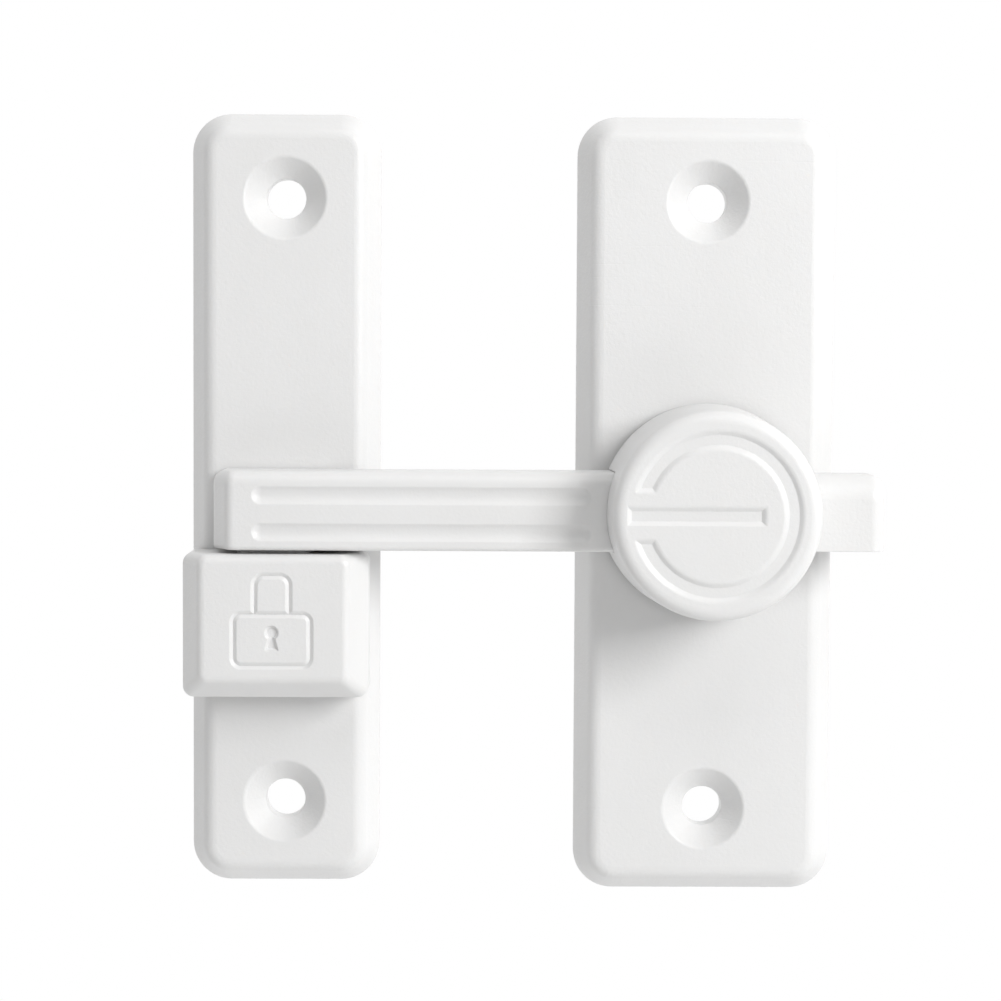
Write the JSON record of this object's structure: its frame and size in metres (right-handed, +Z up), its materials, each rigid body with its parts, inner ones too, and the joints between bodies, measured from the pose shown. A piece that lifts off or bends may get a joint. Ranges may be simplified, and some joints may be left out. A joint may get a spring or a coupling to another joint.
{
  "type": "stair gate latch",
  "caption": "Two-part flip latch for a stair gate or sliding door: a knob-mounted bar swings over a keeper rail and a sprung lock slider holds it shut.",
  "frame": {"origin": "the bar's pivot axis on the plane that both halves are screwed to", "axes": "+X from the keeper towards the latch plate and its thumb tab, +Z up along the plates, +Y into the surface behind; the latch stands out towards -Y"},
  "size_m": [0.0883, 0.022, 0.1001],
  "materials": {
    "white_abs": "satin moulded white ABS, fine moulding texture",
    "white_abs_bar": "satin moulded white ABS",
    "white_abs_knob": "satin moulded white ABS",
    "white_abs_slider": "satin moulded white ABS",
    "acetal": "natural acetal, smooth",
    "nylon": "natural nylon, slightly translucent",
    "zinc_steel": "bright zinc plate",
    "spring_steel": "oiled spring steel"
  },
  "bodies": {
    "root": {"latch_base": "white_abs", "glide_washer": "nylon", "disc_spring": "spring_steel", "pivot_washer": "zinc_steel", "pivot_screw": "zinc_steel", "keeper_base": "white_abs", "snap_leaf": "spring_steel", "leaf_screw": "zinc_steel", "return_springs": "spring_steel"},
    "bar": {"latch_bar": "white_abs_bar", "pivot_bush": "acetal", "knob_cap": "white_abs_knob"},
    "slider": {"lock_slider": "white_abs_slider", "slider_retainer": "acetal", "retainer_screw": "zinc_steel"}
  },
  "joints": [
    {"name": "bar_swing", "type": "hinge", "parent": "root", "child": "bar", "pos_m": [0, 0, 0], "axis": [0, 1, 0], "range_deg": [0, 180], "deforming": ["snap_leaf"]},
    {"name": "lock_slide", "type": "slide", "parent": "root", "child": "slider", "axis": [0, 0, -1], "range_m": [0, 0.007], "stiffness_N_per_m": 250, "springref_m": -0.003, "deforming": ["return_springs"]}
  ]
}
